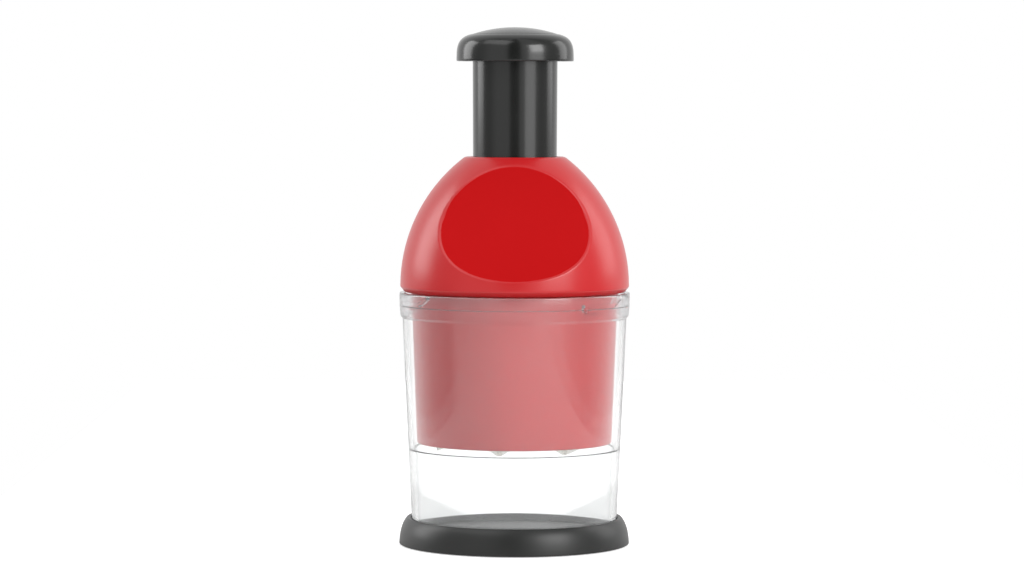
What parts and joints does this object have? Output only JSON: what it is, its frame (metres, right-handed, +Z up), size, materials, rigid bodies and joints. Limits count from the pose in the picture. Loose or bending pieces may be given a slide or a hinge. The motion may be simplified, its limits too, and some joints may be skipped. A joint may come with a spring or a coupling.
{
  "type": "plunger food chopper",
  "caption": "Hand food chopper: a sprung plunger under a domed housing drives a zigzag blade down inside a clear container that stands on a round base.",
  "frame": {"origin": "on the table, under the middle of the base", "axes": "+Z up along the plunger's axis, front with the finger hollow towards -Y, +X to the right seen from the front"},
  "size_m": [0.105, 0.105, 0.2352],
  "materials": {
    "base_black": "satin moulded black plastic",
    "grip_rubber": "matt soft rubber",
    "container_clear": "clear polished plastic",
    "housing_red": "glossy moulded red plastic",
    "handle_black": "glossy moulded black plastic",
    "inner_white": "plain moulded white plastic",
    "blade_steel": "stainless steel with a fine grain",
    "spring_steel": "drawn spring wire",
    "screw_steel": "zinc plated"
  },
  "bodies": {
    "base": {"base": "base_black", "anti_slip_ring": "grip_rubber"},
    "container": {"container": "container_clear"},
    "housing": {"housing_dome": "housing_red", "blade_guard": "housing_red", "cam_sleeve": "inner_white", "shaft_bush": "inner_white", "return_spring": "spring_steel", "housing_screw_1": "screw_steel", "housing_screw_2": "screw_steel", "housing_screw_3": "screw_steel", "housing_screw_4": "screw_steel"},
    "plunger": {"plunger_stem": "handle_black", "plunger_knob": "handle_black", "knob_cap": "handle_black", "thrust_washer": "inner_white", "knob_screw_1": "screw_steel", "knob_screw_2": "screw_steel"},
    "blade": {"blade_shaft": "blade_steel", "shaft_clip": "spring_steel", "index_pin": "blade_steel", "hub_pin": "blade_steel", "blade_hub": "inner_white", "zigzag_blade": "blade_steel"},
    "wiper": {"wiper_disc": "inner_white"}
  },
  "joints": [
    {"name": "container_lift", "type": "slide", "parent": "base", "child": "container", "axis": [0, 0, 1], "range_m": [0, 0.05]},
    {"name": "housing_twist", "type": "hinge", "parent": "container", "child": "housing", "pos_m": [0, 0, 0.11], "axis": [0, 0, 1], "range_deg": [0, 28]},
    {"name": "plunger_press", "type": "slide", "parent": "housing", "child": "plunger", "axis": [0, 0, -1], "range_m": [0, 0.034], "stiffness_N_per_m": 250, "springref_m": -0.03, "deforming": ["return_spring"]},
    {"name": "blade_turn", "type": "hinge", "parent": "plunger", "child": "blade", "pos_m": [0, 0, 0.1], "axis": [0, 0, 1], "range_deg": [0, 36.5]},
    {"name": "wiper_turn", "type": "hinge", "parent": "housing", "child": "wiper", "pos_m": [0, 0, 0.0488], "axis": [0, 0, 1], "range_deg": [0, 36.5]}
  ],
  "couplings": [
    {"joint": "blade_turn", "follows": "plunger_press", "rad_per_m": 18.48},
    {"joint": "wiper_turn", "follows": "plunger_press", "rad_per_m": 18.48}
  ]
}
